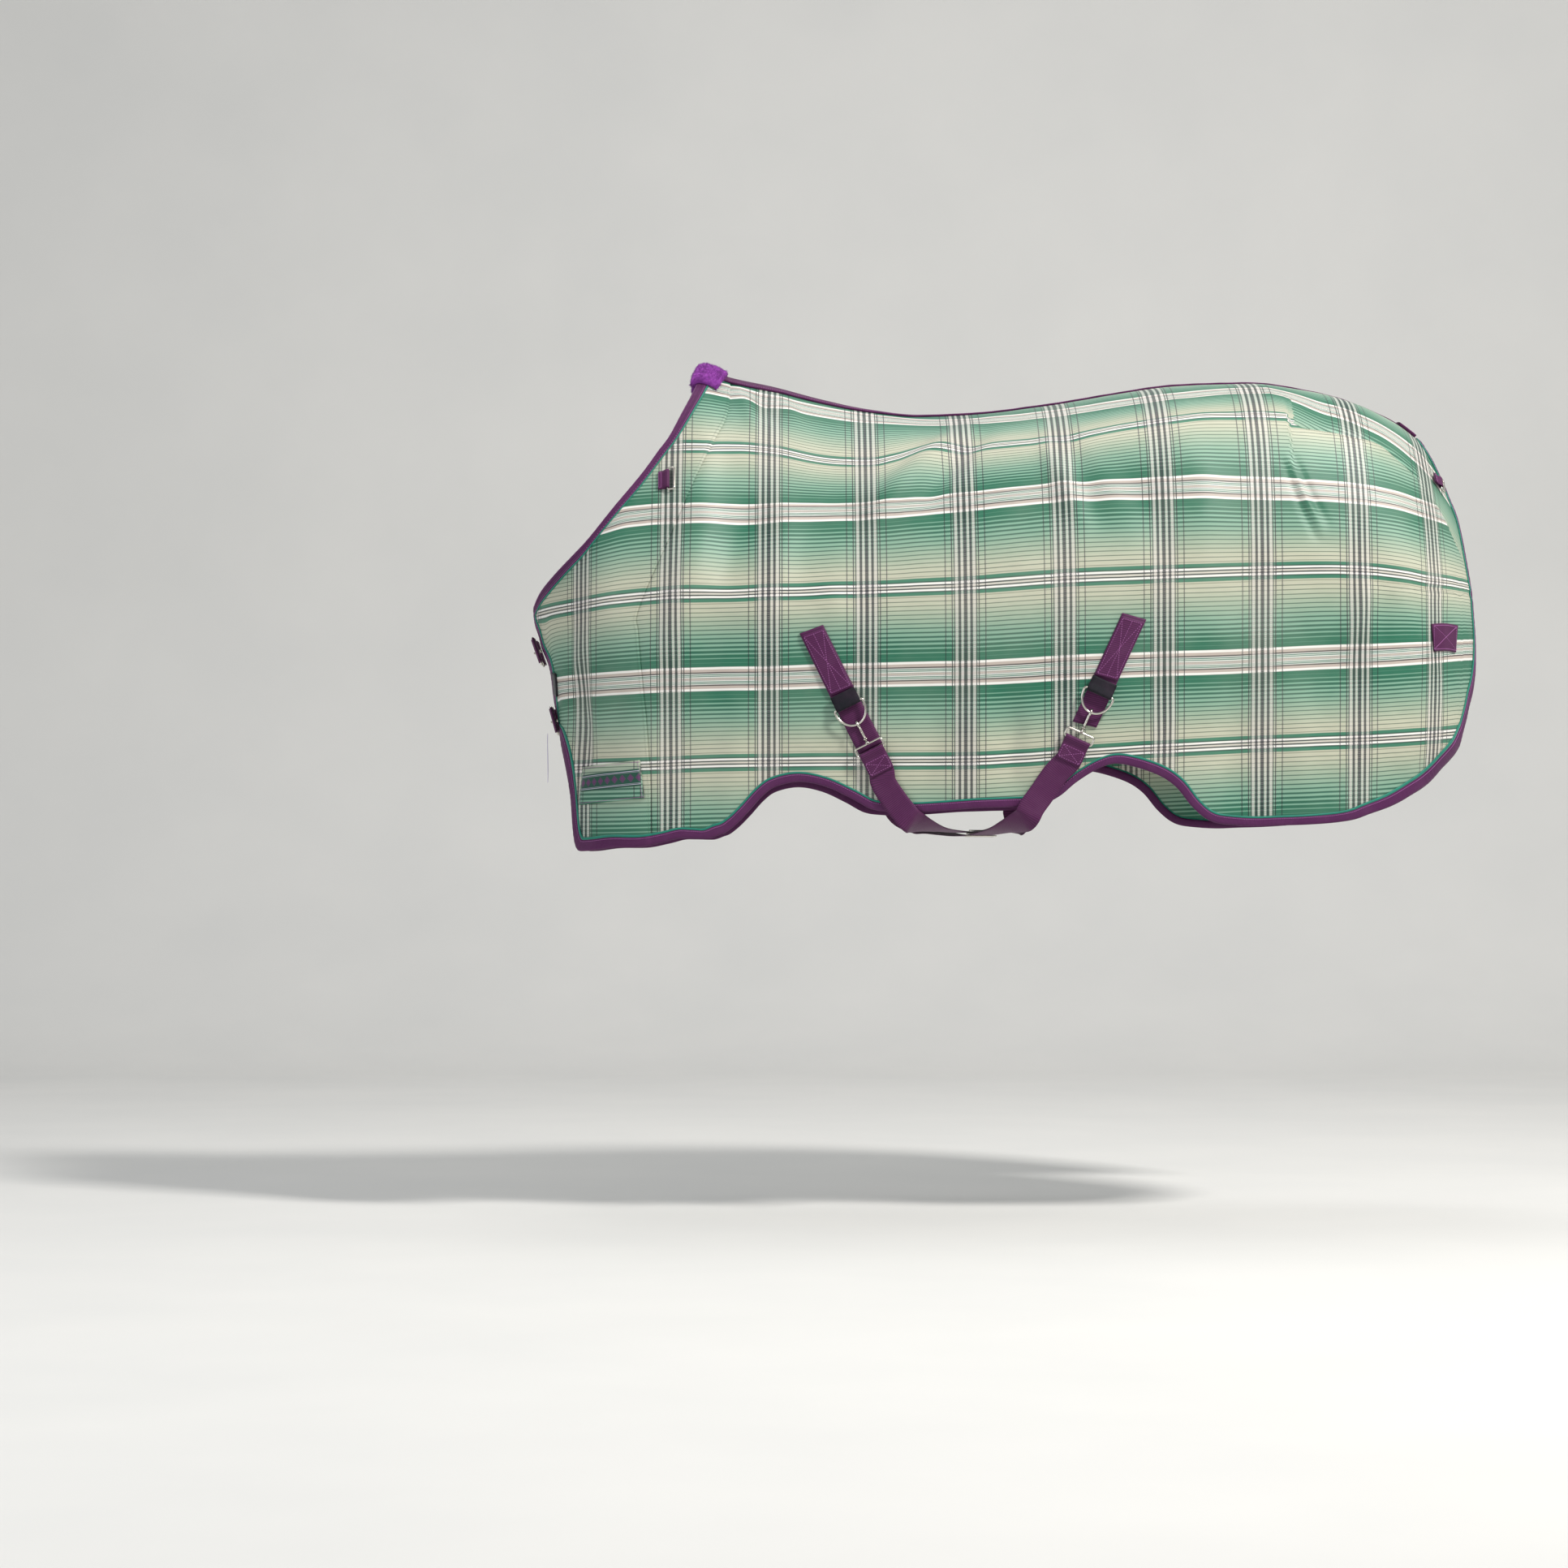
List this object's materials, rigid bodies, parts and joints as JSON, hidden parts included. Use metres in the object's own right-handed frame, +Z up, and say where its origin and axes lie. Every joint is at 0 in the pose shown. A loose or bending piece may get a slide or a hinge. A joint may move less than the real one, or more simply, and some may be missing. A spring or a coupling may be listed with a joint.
{
  "type": "horse turnout rug",
  "caption": "Mesh horse rug with bound neck, hem and rear, clipped chest closures, crossed belly straps with snap hooks, and lined shoulders.",
  "frame": {"origin": "on the spine seam at the middle of the horse's back, on the line the rug rests along", "axes": "+X towards the tail, -X towards the chest, -Y the horse's left side, +Z up"},
  "size_m": [1.8083, 0.6543, 0.9461],
  "materials": {
    "purple_webbing": "woven",
    "plaid_mesh": "coated mesh",
    "olive_lining": "satin",
    "purple_fleece": "pile",
    "nickel_plate": "plated",
    "teal_piping": "satin",
    "green_label": "woven",
    "black_elastic": "ribbed",
    "pale_string": "braided"
  },
  "bodies": {
    "rug": {"chest_lower_left_tab": "purple_webbing", "chest_lower_right_tab": "purple_webbing", "chest_tag": "black_elastic", "chest_upper_left_tab": "purple_webbing", "chest_upper_right_tab": "purple_webbing", "dock_webbing": "purple_webbing", "front_belly_strap": "purple_webbing", "front_label": "green_label", "front_label_backing": "plaid_mesh", "front_surcingle_elastic": "black_elastic", "front_surcingle_overlay": "purple_webbing", "front_surcingle_tab": "purple_webbing", "left_body_panel": "plaid_mesh", "left_edge_binding": "purple_webbing", "left_front_panel": "plaid_mesh", "left_leg_strap_patch": "purple_webbing", "left_leg_strap_tab": "purple_webbing", "left_neck_tab": "purple_webbing", "left_piping": "teal_piping", "left_shoulder_lining": "olive_lining", "left_tail_tab": "purple_webbing", "neck_binding": "purple_webbing", "rear_belly_strap": "purple_webbing", "rear_surcingle_elastic": "black_elastic", "rear_surcingle_overlay": "purple_webbing", "rear_surcingle_tab": "purple_webbing", "right_body_panel": "plaid_mesh", "right_edge_binding": "purple_webbing", "right_front_panel": "plaid_mesh", "right_leg_strap_patch": "purple_webbing", "right_leg_strap_tab": "purple_webbing", "right_neck_tab": "purple_webbing", "right_piping": "teal_piping", "right_shoulder_lining": "olive_lining", "right_tail_tab": "purple_webbing", "spine_webbing": "purple_webbing", "tag_string": "pale_string", "wither_fleece_pad": "purple_fleece"},
    "front_surcingle_snap": {"front_surcingle_snap": "nickel_plate"},
    "front_surcingle_ring": {"front_surcingle_ring": "nickel_plate"},
    "front_surcingle_gate": {"front_surcingle_gate": "nickel_plate"},
    "rear_surcingle_snap": {"rear_surcingle_snap": "nickel_plate"},
    "rear_surcingle_ring": {"rear_surcingle_ring": "nickel_plate"},
    "rear_surcingle_gate": {"rear_surcingle_gate": "nickel_plate"},
    "chest_upper_snap": {"chest_upper_snap": "nickel_plate"},
    "chest_upper_ring": {"chest_upper_ring": "nickel_plate"},
    "chest_upper_gate": {"chest_upper_gate": "nickel_plate"},
    "chest_lower_snap": {"chest_lower_snap": "nickel_plate"},
    "chest_lower_ring": {"chest_lower_ring": "nickel_plate"},
    "chest_lower_gate": {"chest_lower_gate": "nickel_plate"},
    "left_neck_ring": {"left_neck_ring": "nickel_plate"},
    "left_tail_ring": {"left_tail_ring": "nickel_plate"},
    "left_leg_strap_ring": {"left_leg_strap_ring": "nickel_plate"},
    "right_neck_ring": {"right_neck_ring": "nickel_plate"},
    "right_tail_ring": {"right_tail_ring": "nickel_plate"},
    "right_leg_strap_ring": {"right_leg_strap_ring": "nickel_plate"},
    "front_strap_slider": {"front_strap_slider": "nickel_plate"},
    "rear_strap_slider": {"rear_strap_slider": "nickel_plate"}
  },
  "joints": [
    {"name": "front_surcingle_snap_rock", "type": "hinge", "parent": "rug", "child": "front_surcingle_snap", "pos_m": [-0.24842, -0.29908, -0.66619], "axis": [0.8877, -0.1029, 0.4488], "range_deg": [0, 4]},
    {"name": "front_surcingle_ring_swing", "type": "hinge", "parent": "rug", "child": "front_surcingle_ring", "pos_m": [-0.29189, -0.29611, -0.57953], "axis": [-0.8877, 0.1029, -0.4488], "range_deg": [0, 6]},
    {"name": "front_surcingle_gate_open", "type": "hinge", "parent": "front_surcingle_snap", "child": "front_surcingle_gate", "pos_m": [-0.26155, -0.30159, -0.64079], "axis": [0.8877, -0.1029, 0.4488], "range_deg": [-15, 0], "stiffness_Nm_per_rad": 0.01, "springref_deg": 5.73},
    {"name": "rear_surcingle_snap_rock", "type": "hinge", "parent": "rug", "child": "rear_surcingle_snap", "pos_m": [0.13219, -0.32434, -0.64652], "axis": [0.9096, 0.0029, -0.4156], "range_deg": [0, 4]},
    {"name": "rear_surcingle_ring_swing", "type": "hinge", "parent": "rug", "child": "rear_surcingle_ring", "pos_m": [0.17249, -0.3271, -0.55833], "axis": [-0.9096, -0.0029, 0.4156], "range_deg": [0, 6]},
    {"name": "rear_surcingle_gate_open", "type": "hinge", "parent": "rear_surcingle_snap", "child": "rear_surcingle_gate", "pos_m": [0.144, -0.32855, -0.6207], "axis": [0.9096, 0.0029, -0.4156], "range_deg": [-15, 0], "stiffness_Nm_per_rad": 0.01, "springref_deg": 5.73},
    {"name": "chest_upper_snap_rock", "type": "hinge", "parent": "rug", "child": "chest_upper_snap", "pos_m": [-0.88868, -0.033, -0.46404], "axis": [-0.3304, 0, 0.9439], "range_deg": [0, 5]},
    {"name": "chest_upper_ring_swing", "type": "hinge", "parent": "rug", "child": "chest_upper_ring", "pos_m": [-0.88868, 0.033, -0.46404], "axis": [0.3304, 0, -0.9439], "range_deg": [0, 9]},
    {"name": "chest_upper_gate_open", "type": "hinge", "parent": "chest_upper_snap", "child": "chest_upper_gate", "pos_m": [-0.89189, -0.0065, -0.46516], "axis": [-0.3304, 0, 0.9439], "range_deg": [-15, 0], "stiffness_Nm_per_rad": 0.01, "springref_deg": 5.73},
    {"name": "chest_lower_snap_rock", "type": "hinge", "parent": "rug", "child": "chest_lower_snap", "pos_m": [-0.85538, -0.033, -0.5984], "axis": [-0.2607, 0, 0.9654], "range_deg": [0, 5]},
    {"name": "chest_lower_ring_swing", "type": "hinge", "parent": "rug", "child": "chest_lower_ring", "pos_m": [-0.85538, 0.033, -0.5984], "axis": [0.2607, 0, -0.9654], "range_deg": [0, 9]},
    {"name": "chest_lower_gate_open", "type": "hinge", "parent": "chest_lower_snap", "child": "chest_lower_gate", "pos_m": [-0.85866, -0.0065, -0.59928], "axis": [-0.2607, 0, 0.9654], "range_deg": [-15, 0], "stiffness_Nm_per_rad": 0.01, "springref_deg": 5.73},
    {"name": "left_neck_ring_swing", "type": "hinge", "parent": "rug", "child": "left_neck_ring", "pos_m": [-0.63138, -0.19197, -0.14709], "axis": [0.0178, -0.4622, -0.8866], "range_deg": [0, 60]},
    {"name": "left_tail_ring_swing", "type": "hinge", "parent": "rug", "child": "left_tail_ring", "pos_m": [0.84442, -0.11774, -0.14669], "axis": [-0.0377, -0.7103, -0.7029], "range_deg": [0, 60]},
    {"name": "left_leg_strap_ring_swing", "type": "hinge", "parent": "rug", "child": "left_leg_strap_ring", "pos_m": [0.80929, -0.23836, -0.45209], "axis": [0.8092, 0.5875, -0.0058], "range_deg": [0, 60]},
    {"name": "right_neck_ring_swing", "type": "hinge", "parent": "rug", "child": "right_neck_ring", "pos_m": [-0.63138, 0.19197, -0.14709], "axis": [-0.0178, -0.4622, 0.8866], "range_deg": [0, 60]},
    {"name": "right_tail_ring_swing", "type": "hinge", "parent": "rug", "child": "right_tail_ring", "pos_m": [0.84442, 0.11774, -0.14669], "axis": [0.0377, -0.7103, 0.7029], "range_deg": [0, 60]},
    {"name": "right_leg_strap_ring_swing", "type": "hinge", "parent": "rug", "child": "right_leg_strap_ring", "pos_m": [0.80929, 0.23836, -0.45209], "axis": [-0.8092, 0.5875, 0.0058], "range_deg": [0, 60]},
    {"name": "front_slider_slide", "type": "slide", "parent": "rug", "child": "front_strap_slider", "axis": [0.3493, 0.9368, 0.0195], "range_m": [-0.015, 0.015]},
    {"name": "rear_slider_slide", "type": "slide", "parent": "rug", "child": "rear_strap_slider", "axis": [-0.2406, 0.9699, -0.0386], "range_m": [-0.015, 0.015]}
  ],
  "couplings": [
    {"joint": "front_surcingle_ring_swing", "follows": "front_surcingle_snap_rock", "ratio": 1.425},
    {"joint": "rear_surcingle_ring_swing", "follows": "rear_surcingle_snap_rock", "ratio": 1.425},
    {"joint": "chest_upper_ring_swing", "follows": "chest_upper_snap_rock", "ratio": 1.75},
    {"joint": "chest_lower_ring_swing", "follows": "chest_lower_snap_rock", "ratio": 1.75}
  ]
}
